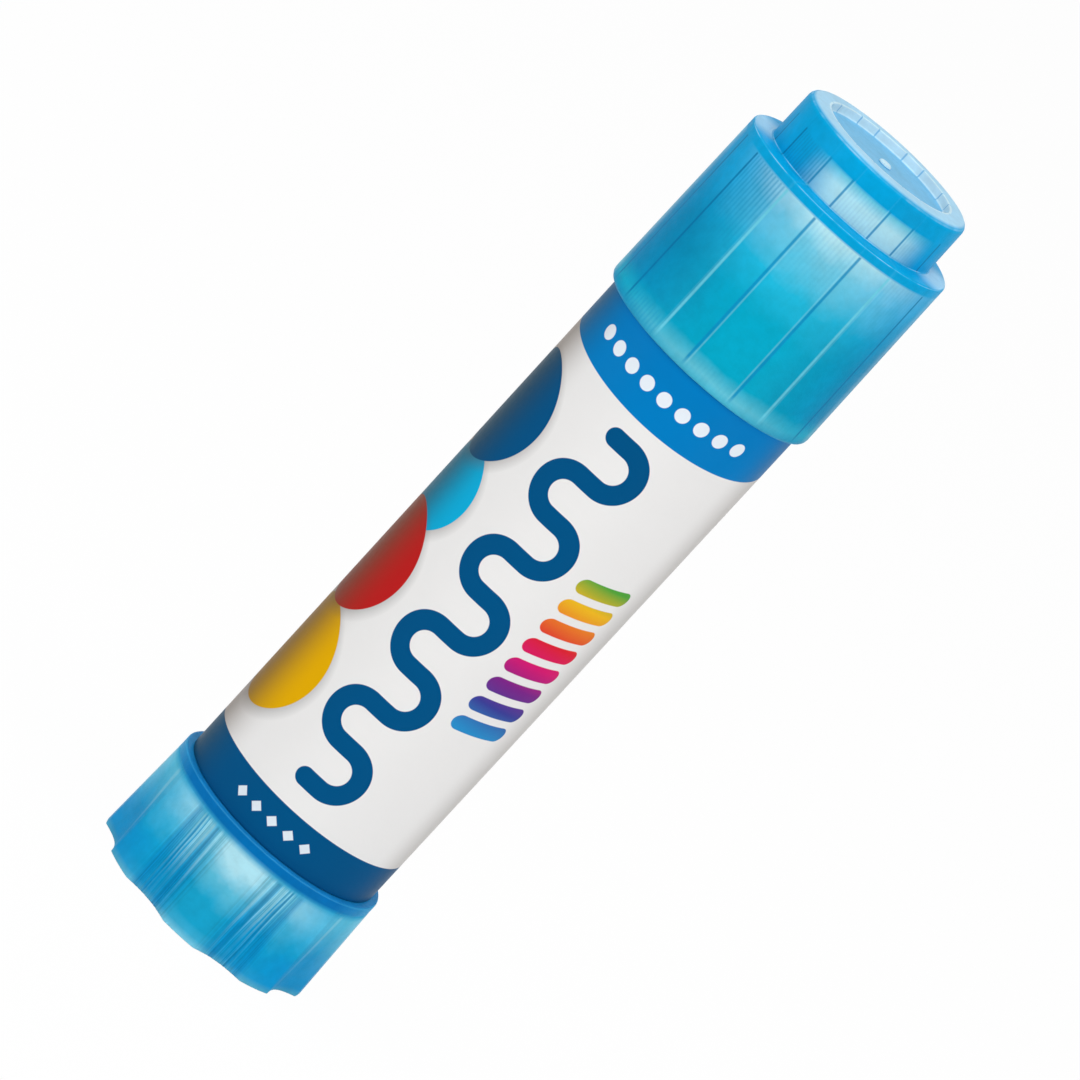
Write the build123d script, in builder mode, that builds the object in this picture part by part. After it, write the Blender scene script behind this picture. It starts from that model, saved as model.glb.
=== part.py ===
"""Twist-up glue stick: cap, barrel, label, glue, carrier, drive screw and knob.

Millimetres and degrees. The axis is +Z, the knob's foot stands on z = 0,
and the front of the label faces -Y.
"""

import os
from math import cos, radians, sin

from build123d import *

# Directions
front_angle = -90.0
back_angle = 90.0

# Barrel
barrel_radius = 11.9
barrel_wall = 1.5
barrel_body_length = 65.15
neck_step = 0.7
neck_length = 15.25
low_neck_length = 6.0
neck_bead_height = 0.15
neck_bead_round = 0.4
neck_bead_lift = 1.9
mouth_round = 0.25
web_thickness = 1.4
guide_rib_count = 2
guide_rib_width = 1.0
guide_rib_height = 0.45
guide_rib_stop = 2.0
snap_bead_height = 0.35
snap_bead_round = 0.45
snap_bead_lift = 1.6

# Label
label_thickness = 0.1
label_inset = 0.15
label_seam = 0.4

# Knob
knob_height = 12.5
knob_wall = 1.39
knob_clearance = 0.25
knob_flare = 0.41
collar_height = 1.14
collar_round = 0.2
lobe_count = 8
crown_angle = 18.0
hollow_depth = 1.1
grip_groove_count = 12
grip_groove_depth = 0.14
knob_ledge = 0.65
knob_floor = 1.3
foot_recess_depth = 0.8
foot_ring_width = 1.7
hub_radius = 5.5
knob_web_count = 4
knob_web_width = 0.9
knob_web_height = 3.4

# Drive screw
screw_core_radius = 2.4
thread_height = 1.0
thread_root = 1.8
thread_crest = 1.0
thread_bite = 0.25
thread_lead = 6.0
thread_runout = 1.5
screw_tip = 1.2
screw_tip_chamfer = 0.6
journal_radius = 3.6
journal_clearance = 0.15
flange_radius = 5.5
flange_thickness = 1.1
shank_width = 4.8
shank_length = 8.0
socket_clearance = 0.05
socket_floor_gap = 0.2

# Carrier
carrier_clearance = 0.25
carrier_lift = 0.4
carrier_skirt_height = 5.0
carrier_skirt_wall = 1.0
carrier_floor = 1.2
cup_height = 5.4
cup_wall = 0.9
cup_fin_count = 4
cup_fin_width = 0.8
cup_fin_height = 2.5
nut_clearance = 0.3
nut_wall = 1.5
nut_lug_count = 2
nut_lug_height = 3.0
nut_lug_angle = 40.0
nut_lug_margin = 0.8
guide_clearance = 0.2

# Glue
glue_clearance = 0.2
glue_recess = 1.5
glue_round = 0.6
glue_bore_headroom = 0.8
mouth_margin = 1.0

# Cap
cap_clearance = 0.15
cap_rib_height = 0.25
cap_rib_width = 0.45
cap_rib_pairs = 8
cap_rib_spread = 27.0
cap_turn = 6.8
cap_wall = 1.13
cap_draft = 0.21
cap_headroom = 5.2
cap_roof = 1.1
cap_lip_height = 0.8
cap_lip_round = 0.7
cap_groove_height = 2.0
cap_groove_depth = 0.12
cap_shoulder_width = 2.39
cap_shoulder_round = 0.3
step_height = 6.0
step_draft = 0.07
step_wall = 1.14
step_foot_round = 0.3
step_top_round = 0.8
top_rim_width = 2.44
top_recess_depth = 1.0
top_recess_round = 0.3
top_slab = 1.1
gate_radius = 0.75
gate_height = 0.35
gate_round = 0.3

# Gaps between the pieces that turn or pull off, and the length by which cuts pass their faces
seat_gap = 0.1
screw_play = 0.1
hub_gap = 0.2
overrun = 1.0

# Radii that follow from the barrel
bore_radius = barrel_radius - barrel_wall
neck_radius = barrel_radius - neck_step
label_radius = barrel_radius + label_thickness

# Heights of the barrel
z_low_shoulder = knob_height + seat_gap
z_barrel_foot = z_low_shoulder - low_neck_length
z_web_top = z_low_shoulder + web_thickness
z_shoulder = z_low_shoulder + barrel_body_length
z_mouth = z_shoulder + neck_length
z_snap = z_barrel_foot + snap_bead_lift
z_neck_bead = z_shoulder + neck_bead_lift

# Knob
collar_radius = neck_radius + knob_clearance + knob_wall
foot_radius = collar_radius + knob_flare
z_collar = knob_height - collar_height
knob_bore = neck_radius + knob_clearance
knob_low_bore = knob_bore - knob_ledge
z_knob_ledge = z_barrel_foot - hub_gap
z_knob_floor = foot_recess_depth + knob_floor
foot_recess_radius = foot_radius - hollow_depth - foot_ring_width
z_hub = z_low_shoulder - hub_gap
lobe_angle = 360.0 / lobe_count
hollow_angle = lobe_angle - crown_angle
socket_width = shank_width + 2 * socket_clearance
socket_depth = shank_length + socket_floor_gap
snap_bead_centre = neck_radius + snap_bead_height - snap_bead_round
snap_groove_round = snap_bead_round + hub_gap

# Screw and carrier
z_flange = z_web_top + screw_play
z_flange_top = z_flange + flange_thickness
z_thread = z_flange_top + thread_root / 2
z_carrier = z_web_top + carrier_lift
z_carrier_floor = z_carrier + carrier_skirt_height
z_cup = z_carrier_floor + carrier_floor
z_cup_rim = z_cup + cup_height
travel = z_mouth - mouth_margin - z_cup_rim
thread_length = travel + thread_runout
z_screw_top = z_thread + thread_length + screw_tip
thread_radius = screw_core_radius + thread_height
nut_bore = thread_radius + nut_clearance
nut_radius = nut_bore + nut_wall
nut_lug_radius = screw_core_radius + nut_clearance
z_nut = z_flange_top + carrier_lift
z_first_lug = z_thread + thread_lead / 2
z_last_lug = z_first_lug + thread_lead / 2
z_nut_top = z_last_lug + nut_lug_height / 2 + nut_lug_margin
carrier_radius = bore_radius - carrier_clearance
cup_bore = carrier_radius - cup_wall
guide_notch_depth = guide_rib_height + guide_clearance
guide_notch_width = guide_rib_width + 2 * guide_clearance

# Glue
glue_radius = bore_radius - glue_clearance
z_glue_top = z_mouth - glue_recess
z_glue_bore = z_screw_top + glue_bore_headroom

# Cap
cap_bore = neck_radius + cap_clearance + cap_rib_height
cap_radius = cap_bore + cap_wall
cap_mouth_bore = cap_bore + cap_clearance
cap_mouth_radius = cap_radius + cap_draft
cap_lip_bore = cap_mouth_bore - cap_rib_height
z_cap = z_shoulder + seat_gap
z_cap_lip = z_cap + cap_lip_height
z_cap_groove = z_cap_lip + cap_groove_height
z_cap_ceiling = z_mouth + cap_headroom
z_cap_shoulder = z_cap_ceiling + cap_roof
z_top = z_cap_shoulder + step_height
step_radius = cap_radius - cap_shoulder_width
step_top_radius = step_radius - step_draft
step_bore = step_radius - step_wall
recess_radius = step_top_radius - top_rim_width
z_recess = z_top - top_recess_depth
z_step_ceiling = z_recess - top_slab


def at(radius, angle):
    """The point of a horizontal sketch at this radius and angle."""
    return (radius * cos(radians(angle)), radius * sin(radians(angle)))


def radial_plane(angle):
    """The upright half plane through the axis: its x runs outwards and its y runs up."""
    return Plane(
        origin=(0, 0, 0),
        x_dir=(cos(radians(angle)), sin(radians(angle)), 0),
        z_dir=(sin(radians(angle)), -cos(radians(angle)), 0),
    )


def ring_edge(part, radius, height):
    """The circular edge of a turned piece that lies nearest to this radius and height."""
    rings = part.edges().filter_by(GeomType.CIRCLE)
    return rings.sort_by(lambda ring: abs(ring.radius - radius) + abs(ring.arc_center.Z - height))[0]


# Barrel: a turned tube with a neck at each end and a web for the screw's journal
with BuildPart() as barrel:
    with BuildSketch(Plane.XZ):
        Polygon([
            (neck_radius, z_barrel_foot),
            (neck_radius, z_low_shoulder),
            (barrel_radius, z_low_shoulder),
            (barrel_radius, z_shoulder),
            (neck_radius, z_shoulder),
            (neck_radius, z_mouth),
            (bore_radius, z_mouth),
            (bore_radius, z_web_top),
            (journal_radius + journal_clearance, z_web_top),
            (journal_radius + journal_clearance, z_low_shoulder),
            (bore_radius, z_low_shoulder),
            (bore_radius, z_barrel_foot),
        ], align=None)
    revolve(axis=Axis.Z)
    fillet(ring_edge(barrel, neck_radius, z_mouth), mouth_round)
    fillet(ring_edge(barrel, bore_radius, z_mouth), mouth_round)

    # The bead that the cap's lip passes, and the bead that holds the knob
    with BuildSketch(Plane.XZ):
        with Locations((neck_radius + neck_bead_height - neck_bead_round, z_neck_bead)):
            Circle(neck_bead_round)
        with Locations((snap_bead_centre, z_snap)):
            Circle(snap_bead_round)
    revolve(axis=Axis.Z)

    # Guide ribs that keep the carrier from turning
    with BuildSketch(Plane.XY.offset(z_web_top)):
        with PolarLocations(bore_radius, guide_rib_count):
            Rectangle(2 * guide_rib_height, guide_rib_width)
    extrude(amount=z_mouth - guide_rib_stop - z_web_top)

# Label: a thin film wrapped round the barrel, with its seam at the back
with BuildPart() as label:
    with BuildSketch(Plane.XY.offset(z_low_shoulder + label_inset)):
        Circle(label_radius)
        Circle(barrel_radius, mode=Mode.SUBTRACT)
        with Locations(at(label_radius, back_angle)):
            Rectangle(label_seam, barrel_wall, mode=Mode.SUBTRACT)
    extrude(amount=barrel_body_length - 2 * label_inset)


def knob_section(crown_radius, depth):
    """The knob's section: smooth crowns, and between them hollows cut into fine grip ribs."""
    steps = 2 * grip_groove_count
    with BuildSketch() as section:
        with BuildLine():
            for lobe in range(lobe_count):
                crown = front_angle + lobe * lobe_angle
                crown_end = crown + crown_angle / 2
                ThreePointArc(
                    at(crown_radius, crown - crown_angle / 2),
                    at(crown_radius, crown),
                    at(crown_radius, crown_end),
                )
                ribs = []
                for step in range(steps + 1):
                    place_share = step / steps
                    dip_share = 1 - (2 * place_share - 1) ** 2
                    groove = grip_groove_depth if step % 2 else 0
                    angle = crown_end + place_share * hollow_angle
                    ribs.append(at(crown_radius - dip_share * depth - groove, angle))
                Polyline(ribs)
        make_face()
    return section.sketch


# Knob: a cup lofted from a scalloped foot to a round collar, with a hub for the screw
with BuildPart() as knob:
    with BuildSketch(Plane.XY):
        add(knob_section(foot_radius, hollow_depth))
    with BuildSketch(Plane.XY.offset(z_collar)):
        add(knob_section(collar_radius, 0))
    loft(ruled=True)
    with BuildSketch(Plane.XY.offset(z_collar)):
        Circle(collar_radius)
    extrude(amount=collar_height)
    fillet(ring_edge(knob, collar_radius, knob_height), collar_round)

    # The hollow round the hub, wider where the barrel's lower neck turns
    with BuildSketch(Plane.XZ):
        Polygon([
            (0, z_hub),
            (hub_radius, z_hub),
            (hub_radius, z_knob_floor),
            (knob_low_bore, z_knob_floor),
            (knob_low_bore, z_knob_ledge),
            (knob_bore, z_knob_ledge),
            (knob_bore, knob_height + overrun),
            (0, knob_height + overrun),
        ], align=None)
    revolve(axis=Axis.Z, mode=Mode.SUBTRACT)
    with BuildSketch(Plane.XZ):
        with Locations((snap_bead_centre, z_snap)):
            Circle(snap_groove_round)
    revolve(axis=Axis.Z, mode=Mode.SUBTRACT)

    # Webs that stiffen the hub
    with BuildSketch(Plane.XY.offset(z_knob_floor)):
        with PolarLocations((hub_radius + knob_low_bore) / 2, knob_web_count):
            Rectangle(knob_low_bore - hub_radius + knob_web_width, knob_web_width)
    extrude(amount=knob_web_height)

    # The square socket of the screw, and the recess that leaves a flat foot ring
    with BuildSketch(Plane.XY.offset(z_hub)):
        Rectangle(socket_width, socket_width)
    extrude(amount=-socket_depth, mode=Mode.SUBTRACT)
    with BuildSketch(Plane.XY):
        Circle(foot_recess_radius)
    extrude(amount=foot_recess_depth, mode=Mode.SUBTRACT)

# Drive screw: a square shank, a journal, a flange and one coarse left-hand thread
with BuildPart() as drive_screw:
    with BuildSketch(Plane.XZ):
        Polygon([
            (0, z_hub),
            (journal_radius, z_hub),
            (journal_radius, z_flange),
            (flange_radius, z_flange),
            (flange_radius, z_flange_top),
            (screw_core_radius, z_flange_top),
            (screw_core_radius, z_screw_top),
            (0, z_screw_top),
        ], align=None)
    revolve(axis=Axis.Z)
    chamfer(ring_edge(drive_screw, screw_core_radius, z_screw_top), screw_tip_chamfer)
    with BuildSketch(Plane.XY.offset(z_hub)):
        Rectangle(shank_width, shank_width)
    extrude(amount=-shank_length)
    with BuildLine() as thread_path:
        Helix(thread_lead, thread_length, screw_core_radius, center=(0, 0, z_thread), lefthand=True)
    with BuildSketch(Plane(origin=thread_path.line @ 0, x_dir=(1, 0, 0), z_dir=thread_path.line % 0)):
        Polygon([
            (-thread_bite, -thread_root / 2),
            (0, -thread_root / 2),
            (thread_height, -thread_crest / 2),
            (thread_height, thread_crest / 2),
            (0, thread_root / 2),
            (-thread_bite, thread_root / 2),
        ], align=None)
    sweep(path=thread_path.line, is_frenet=True)

# Carrier: a piston cup whose nut rides on the screw with two lugs
with BuildPart() as carrier:
    with BuildSketch(Plane.XZ):
        Polygon([
            (nut_bore, z_nut),
            (nut_radius, z_nut),
            (nut_radius, z_carrier_floor),
            (carrier_radius - carrier_skirt_wall, z_carrier_floor),
            (carrier_radius - carrier_skirt_wall, z_carrier),
            (carrier_radius, z_carrier),
            (carrier_radius, z_cup_rim),
            (cup_bore, z_cup_rim),
            (cup_bore, z_cup),
            (nut_radius, z_cup),
            (nut_radius, z_nut_top),
            (nut_bore, z_nut_top),
        ], align=None)
    revolve(axis=Axis.Z)

    # Fins that key the glue to the cup
    with BuildSketch(Plane.XY.offset(z_cup)):
        with PolarLocations((nut_radius + cup_bore) / 2, cup_fin_count, start_angle=front_angle / 2):
            Rectangle(cup_bore - nut_radius + cup_fin_width, cup_fin_width)
    extrude(amount=cup_fin_height)

    # Lugs in the screw's groove, each as far up the left-hand helix as it is round it
    for lug in range(nut_lug_count):
        turn_share = lug / nut_lug_count
        with BuildSketch(radial_plane(-360 * turn_share - nut_lug_angle / 2)):
            with Locations(((nut_lug_radius + nut_radius) / 2, z_first_lug + turn_share * thread_lead)):
                Rectangle(nut_radius - nut_lug_radius, nut_lug_height)
        revolve(axis=Axis.Z, revolution_arc=nut_lug_angle)

    # Notches on the barrel's guide ribs
    with BuildSketch(Plane.XY.offset(z_carrier)):
        with PolarLocations(bore_radius, guide_rib_count):
            Rectangle(2 * guide_notch_depth, guide_notch_width)
    extrude(amount=z_cup_rim - z_carrier, mode=Mode.SUBTRACT)

# Glue: cast into the cup and round the screw, with grooves on the guide ribs
with BuildPart() as glue:
    with BuildSketch(Plane.XZ):
        Polygon([
            (0, z_cup),
            (cup_bore, z_cup),
            (cup_bore, z_cup_rim),
            (glue_radius, z_cup_rim),
            (glue_radius, z_glue_top),
            (0, z_glue_top),
        ], align=None)
    revolve(axis=Axis.Z)
    fillet(ring_edge(glue, glue_radius, z_glue_top), glue_round)
    with BuildSketch(Plane.XY.offset(z_cup)):
        Circle(nut_bore)
    extrude(amount=z_glue_bore - z_cup, mode=Mode.SUBTRACT)
    with BuildSketch(Plane.XY.offset(z_cup_rim)):
        with PolarLocations(bore_radius, guide_rib_count):
            Rectangle(2 * guide_notch_depth, guide_notch_width)
    extrude(amount=z_glue_top - z_cup_rim, mode=Mode.SUBTRACT)
    add(carrier.part, mode=Mode.SUBTRACT)

# One of the cap's inner ribs: a long one on the skirt and a short one on the step
with BuildPart() as cap_rib:
    with BuildSketch(Plane.XZ):
        Polygon([
            (cap_lip_bore, z_cap_lip),
            (cap_mouth_bore + cap_wall / 2, z_cap_lip),
            (cap_bore + cap_wall / 2, z_cap_ceiling),
            (cap_bore - cap_rib_height, z_cap_ceiling),
        ], align=None)
        Polygon([
            (step_bore - cap_rib_height, z_cap_ceiling),
            (step_bore + step_wall / 2, z_cap_ceiling),
            (step_bore + step_wall / 2, z_step_ceiling),
            (step_bore - cap_rib_height, z_step_ceiling),
        ], align=None)
    extrude(amount=cap_rib_width / 2, both=True)

# Cap: a drafted skirt and a smaller step, one wall thick all over
with BuildPart() as cap:
    with BuildSketch(Plane.XZ):
        Polygon([
            (cap_lip_bore, z_cap),
            (cap_mouth_radius, z_cap),
            (cap_radius, z_cap_shoulder),
            (step_radius, z_cap_shoulder),
            (step_top_radius, z_top),
            (recess_radius, z_top),
            (recess_radius, z_recess),
            (0, z_recess),
            (0, z_step_ceiling),
            (step_bore, z_step_ceiling),
            (step_bore, z_cap_ceiling),
            (cap_bore, z_cap_ceiling),
            (cap_mouth_bore, z_cap_groove),
            (cap_mouth_bore + cap_groove_depth, z_cap_groove),
            (cap_mouth_bore + cap_groove_depth, z_cap_lip),
            (cap_lip_bore, z_cap_lip),
        ], align=None)
    revolve(axis=Axis.Z)
    fillet(ring_edge(cap, cap_mouth_radius, z_cap), cap_lip_round)
    fillet(ring_edge(cap, cap_radius, z_cap_shoulder), cap_shoulder_round)
    fillet(ring_edge(cap, step_radius, z_cap_shoulder), step_foot_round)
    fillet(ring_edge(cap, step_top_radius, z_top), step_top_round)
    fillet(ring_edge(cap, recess_radius, z_recess), top_recess_round)

    # The gate mark in the middle of the recess
    with BuildSketch(Plane.XY.offset(z_recess)):
        Circle(gate_radius)
    extrude(amount=gate_height)
    fillet(ring_edge(cap, gate_radius, z_recess + gate_height), gate_round)

    # Inner ribs in pairs
    for side in (-1, 1):
        first_angle = front_angle + cap_turn + side * cap_rib_spread / 2
        with PolarLocations(0, cap_rib_pairs, start_angle=first_angle):
            add(cap_rib.part)

barrel.part.label = "barrel"
label.part.label = "label"
knob.part.label = "knob"
drive_screw.part.label = "drive_screw"
carrier.part.label = "carrier"
glue.part.label = "glue"
cap.part.label = "cap"

os.makedirs("parts", exist_ok=True)
for piece in (barrel, label, knob, drive_screw, carrier, glue, cap):
    export_step(piece.part, "parts/" + piece.part.label + ".step")

print("height", round(z_top, 2), "travel", round(travel, 2), "turns", round(travel / thread_lead, 3))
print("glue volume, ml", round(glue.part.volume / 1000, 2))
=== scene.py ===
"""Looks of a twist-up glue stick: cap, printed label, barrel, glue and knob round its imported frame.

Metres, with the stick standing on z = 0, its axis on +Z and the front of its label towards -Y.
"""
import math
from functools import partial

import bmesh
import bpy
from mathutils import Matrix, Vector


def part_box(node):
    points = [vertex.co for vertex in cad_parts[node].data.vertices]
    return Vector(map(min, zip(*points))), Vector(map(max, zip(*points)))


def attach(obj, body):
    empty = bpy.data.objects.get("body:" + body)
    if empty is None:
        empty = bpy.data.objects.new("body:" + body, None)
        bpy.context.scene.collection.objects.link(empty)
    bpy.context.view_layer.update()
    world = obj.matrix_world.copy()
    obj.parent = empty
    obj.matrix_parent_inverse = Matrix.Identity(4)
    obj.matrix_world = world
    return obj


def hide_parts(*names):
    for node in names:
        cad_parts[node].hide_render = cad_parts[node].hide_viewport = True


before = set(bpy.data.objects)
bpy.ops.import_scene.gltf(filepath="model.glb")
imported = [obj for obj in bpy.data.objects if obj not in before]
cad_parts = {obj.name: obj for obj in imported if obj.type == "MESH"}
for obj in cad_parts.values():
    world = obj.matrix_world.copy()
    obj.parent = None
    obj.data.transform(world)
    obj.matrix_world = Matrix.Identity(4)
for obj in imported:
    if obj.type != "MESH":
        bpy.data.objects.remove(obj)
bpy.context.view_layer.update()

bl_info = {
    "name": "Glue Stick",
    "version": (1, 0, 0),
    "blender": (4, 5, 0),
    "location": "3D View > Sidebar > Glue Stick",
    "description": "Makes the pieces of a twist-up glue stick, their finishes and a plain stage",
    "category": "Object",
}

MM = 0.001
FRONT = math.radians(-90)
SHARP_CORNER = math.radians(32)
SMALLEST_GAP = 1e-6
NEARBY = 0.1 * MM

ROUND_SEGMENTS = 4
PLAIN_COLUMNS = 256
FINE_COLUMNS = 320
LOBES = 8
RIB_PAIRS = 8

# The fine ribs lie on every second column, so their pitch in degrees is that of two columns
FINE_RIB_PITCH = 2 * 360 / FINE_COLUMNS

# Sizes of the finishes' patterns in millimetres
CLOUD_SIZE = 5.882
FLOW_SIZE = 3.846
MOTTLE_SIZE = 1.111
GRAIN_SIZE = 0.3333
PLAIN_GRAIN_SIZE = 0.4545
VARNISH_SIZE = 0.5556
FLOW_MARK_WIDTH = 2.381
SMEAR_SIZE = 4.545
PIT_SPACING = 1.111

# The dye takes most of the light, so hardly any goes straight through, and the grain leaves next to no mirror image
TRANSLUCENT = {"IOR": 1.49, "Specular_IOR_Level": 0.02, "Transmission_Weight": 0.03}


# Sizes and colours as properties

def linear(code):
    """A colour written as sRGB hex, in the linear values that shaders use."""
    shares = [int(code[place:place + 2], 16) / 255 for place in (1, 3, 5)]
    return [s / 12.92 if s <= 0.04045 else ((s + 0.055) / 1.055) ** 2.4 for s in shares] + [1.0]


def size(name, description, millimetres):
    """A length that the user can set."""
    return bpy.props.FloatProperty(name=name, description=description, default=millimetres * MM,
                                   min=0.0, unit="LENGTH", precision=5)


def angle(name, description, degrees):
    """An angle that the user can set."""
    return bpy.props.FloatProperty(name=name, description=description, default=math.radians(degrees),
                                   subtype="ANGLE", unit="ROTATION")


def colour(name, description, code):
    """A colour that the user can set, from sRGB hex."""
    return bpy.props.FloatVectorProperty(name=name, description=description, default=linear(code),
                                         size=4, min=0.0, max=1.0, subtype="COLOR")


class CapSettings(bpy.types.PropertyGroup):
    """Sizes and colours of the cap."""
    mouth_radius: size("Mouth radius", "Outer radius at the open end", 12.94)
    shoulder_radius: size("Shoulder radius", "Outer radius at the shoulder", 12.73)
    mouth_bore: size("Mouth bore", "Inner radius above the groove", 11.75)
    shoulder_bore: size("Shoulder bore", "Inner radius under the roof of the skirt", 11.6)
    lip_bore: size("Lip bore", "Inner radius of the lip that grips the neck", 11.5)
    lip_height: size("Lip height", "Height of the lip", 0.8)
    lip_round: size("Lip round", "Round at the outside of the open end", 0.7)
    groove_depth: size("Groove depth", "Depth of the groove over the lip", 0.12)
    groove_height: size("Groove height", "Height of the groove over the lip", 2.0)
    roof: size("Roof", "Thickness of the skirt's roof", 1.1)
    step_height: size("Step height", "Height of the smaller top step", 6.0)
    step_radius: size("Step radius", "Outer radius of the step at its foot", 10.34)
    step_top_radius: size("Step top radius", "Outer radius of the step at its top", 10.27)
    step_bore: size("Step bore", "Inner radius of the step", 9.2)
    slab: size("Slab", "Thickness of the top under its recess", 1.1)
    rim_width: size("Rim width", "Width of the flat rim round the recess", 2.44)
    recess_depth: size("Recess depth", "Depth of the recess in the top", 1.0)
    small_round: size("Small round", "Round of the shoulder, the step's foot and the recess", 0.3)
    top_round: size("Top round", "Round of the top rim", 0.8)
    gate_radius: size("Gate radius", "Radius of the moulding gate's mark", 0.75)
    gate_height: size("Gate height", "Height of the moulding gate's mark", 0.35)
    rib_turn: angle("Rib turn", "Turn of the nearest rib pair from the front", 6.8)
    rib_spread: angle("Rib spread", "Angle between the two ribs of a pair", 27.0)
    rib_height: size("Rib height", "Height of the inner ribs", 0.25)
    fine_rib_height: size("Fine rib height", "Height of the fine ribs between a pair", 0.1)
    fine_rib_length: size("Fine rib length", "Length over which the fine ribs fade from the roof down", 11.0)
    # Painted light: the pale colour at the open end, where the thin wall would let light in
    lip_colour: colour("Lip", "Colour at the open end, where the groove's thin wall lets light in", "#62C0D4")
    teal_colour: colour("Teal", "Colour of the skirt where it lies on the white neck", "#02A6C6")
    azure_colour: colour("Azure", "Colour over the neck's mouth", "#20B6D8")
    # Painted light: the pale colour of light coming through the empty room under the roof
    backlight_colour: colour("Clear", "Colour where light comes through the empty room under the roof", "#B4E4EF")
    # Painted shade where the skirt turns away from the light
    turned_side_shade: colour("Deep", "Colour where the skirt turns away from the light", "#0288B8")
    solid_colour: colour("Solid", "Colour where the plastic is thick", "#02A1D8")
    # Painted light on the faces that look up
    toplight_colour: colour("Top", "Colour of the faces that look up", "#B4DFF6")
    # Painted shade and painted highlight of the inner ribs
    rib_shadow_colour: colour("Rib, dark", "Colour of the ribs that bend the light away", "#0A8ABF")
    rib_highlight_colour: colour("Rib, light", "Colour of the ribs that bend the light to the front", "#6CCBE0")


class KnobSettings(bpy.types.PropertyGroup):
    """Sizes and colours of the foot knob."""
    foot_radius: size("Foot radius", "Outer radius of the crowns at the foot", 13.25)
    collar_radius: size("Collar radius", "Outer radius of the plain collar", 12.84)
    collar_height: size("Collar height", "Height of the plain collar", 1.14)
    collar_round: size("Collar round", "Round of the collar's upper edge", 0.2)
    foot_round: size("Foot round", "Round of the foot's edges", 0.15)
    bore: size("Bore", "Inner radius round the barrel's lower neck", 11.45)
    low_bore: size("Low bore", "Inner radius under the ledge", 10.8)
    ledge_height: size("Ledge height", "Height of the ledge under the neck", 6.4)
    recess_radius: size("Recess radius", "Radius of the recess in the foot", 10.45)
    recess_depth: size("Recess depth", "Depth of the recess in the foot", 0.8)
    floor_height: size("Floor height", "Height of the floor's upper side", 2.1)
    hub_radius: size("Hub radius", "Radius of the hub that holds the screw", 5.5)
    hub_height: size("Hub height", "Height of the hub's top", 12.4)
    socket_width: size("Socket width", "Width of the screw's square socket", 4.9)
    socket_floor: size("Socket floor", "Height of the socket's floor", 4.2)
    crown_angle: angle("Crown angle", "Width of a smooth crown", 18.0)
    hollow_depth: size("Hollow depth", "Depth of the hollows at the foot", 1.1)
    groove_depth: size("Groove depth", "Depth of the fine grip grooves", 0.14)
    crown_colour: colour("Crown", "Colour of the crowns near the foot", "#16A0C8")
    # Painted light: the pale colour of light coming through under the collar
    backlight_colour: colour("Clear", "Colour under the collar, where light comes through", "#ACDFEC")
    # Painted shade where the knob turns away from the light
    turned_side_shade: colour("Deep", "Colour where the knob turns away from the light", "#0295D0")
    collar_colour: colour("Collar", "Colour of the collar over the barrel's edge", "#016FB4")
    # Painted shade in the hollows
    hollow_shadow_colour: colour("Hollows", "Colour of the hollows", "#0292C8")
    # Painted shadows of the grip grooves
    groove_shadow_colour: colour("Lines", "Colour of the grip grooves' shadows", "#0280BC")


class BarrelSettings(bpy.types.PropertyGroup):
    """Sizes and colours of the barrel, the glue and the screw mechanism."""
    neck_radius: size("Neck radius", "Outer radius of both necks", 11.2)
    bore: size("Bore", "Inner radius", 10.4)
    neck_length: size("Neck length", "Length of the upper neck", 15.25)
    low_neck_length: size("Lower neck length", "Length of the lower neck", 6.0)
    web: size("Web", "Thickness of the web that holds the screw's journal", 1.4)
    web_bore: size("Web bore", "Radius of the hole in the web", 3.75)
    mouth_round: size("Mouth round", "Round of the mouth's edges", 0.25)
    bead_height: size("Bead height", "Height of the neck's bead", 0.15)
    bead_lift: size("Bead lift", "Height of the neck's bead over the shoulder", 1.9)
    bead_width: size("Bead width", "Width of the neck's bead", 0.6)
    snap_height: size("Snap bead height", "Height of the bead that holds the knob", 0.35)
    snap_lift: size("Snap bead lift", "Height of that bead over the barrel's foot", 1.6)
    snap_width: size("Snap bead width", "Width of that bead", 0.8)
    rib_height: size("Guide rib height", "Height of the two guide ribs", 0.45)
    rib_stop: size("Guide rib stop", "Distance of the ribs' ends from the mouth", 2.0)
    plastic_colour: colour("Barrel", "Colour of the white barrel", "#ECECEA")
    natural_colour: colour("Mechanism", "Colour of the carrier and the screw", "#E2E4DF")
    glue_cup_radius: size("Glue cup radius", "Radius of the glue in its cup", 9.25)
    glue_cup_height: size("Glue cup height", "Height of the glue in its cup", 5.4)
    glue_nut_radius: size("Glue nut radius", "Radius of the glue round the nut", 5.2)
    glue_nut_height: size("Glue nut height", "Height of the nut in the glue", 3.8)
    glue_bore: size("Glue bore", "Radius of the glue round the screw", 3.7)
    glue_bore_top: size("Glue bore top", "Height of the bore's end under the glue's top", 5.9)
    glue_round: size("Glue round", "Round of the glue's top edge", 0.6)
    glue_groove_depth: size("Glue groove depth", "Depth of the grooves on the guide ribs", 0.65)
    glue_groove_width: size("Glue groove width", "Width of the grooves on the guide ribs", 1.4)
    glue_colour: colour("Glue", "Colour of the glue", "#F1EFE6")


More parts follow.
